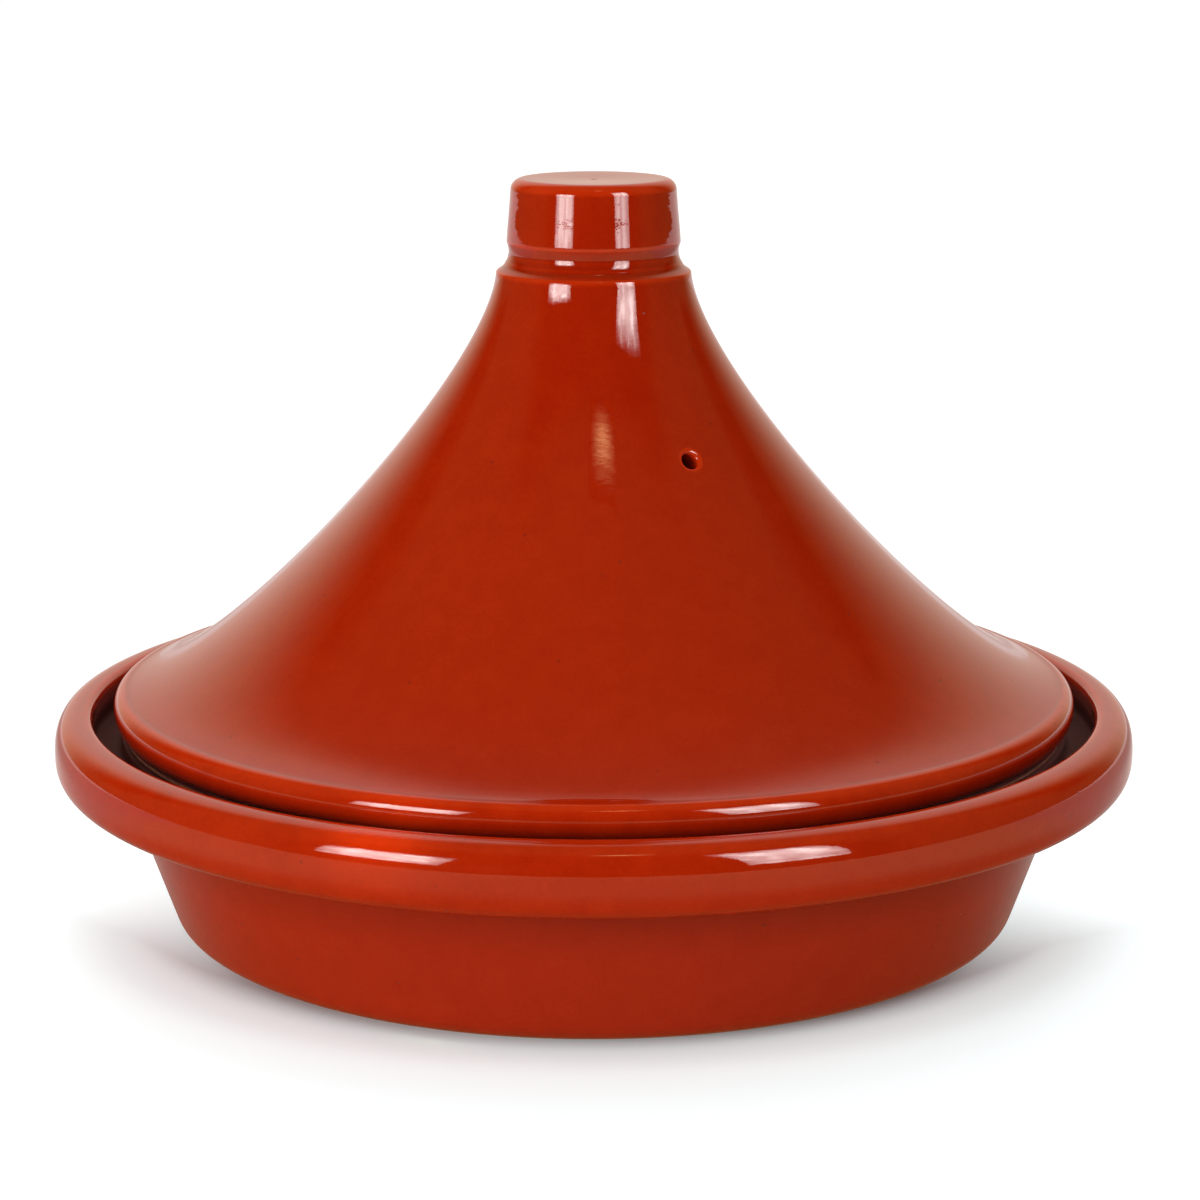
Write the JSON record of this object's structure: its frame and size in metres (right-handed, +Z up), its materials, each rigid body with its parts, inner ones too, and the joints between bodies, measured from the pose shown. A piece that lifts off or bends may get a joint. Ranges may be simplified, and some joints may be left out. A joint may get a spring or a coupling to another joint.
{
  "type": "tagine",
  "caption": "Round glazed earthenware tagine: a shallow dish with a rolled rim and a tall flared lid with a knob and a steam vent, lifting off a ledge inside the rim.",
  "frame": {"origin": "centre of the flat foot ring, on the table", "axes": "+Z up along the axis that dish and lid are turned about; the pictured front faces -Y, with the vent to its right"},
  "size_m": [0.32, 0.32, 0.2231],
  "materials": {
    "dish_glaze": "glossy red-orange transparent glaze over red earthenware",
    "lid_glaze": "very glossy red-orange transparent glaze over red earthenware"
  },
  "bodies": {
    "dish": {"base_dish": "dish_glaze"},
    "lid": {"lid": "lid_glaze"}
  },
  "joints": [
    {"name": "lid_lift", "type": "slide", "parent": "dish", "child": "lid", "axis": [0, 0, 1], "range_m": [0, 0.15]}
  ]
}
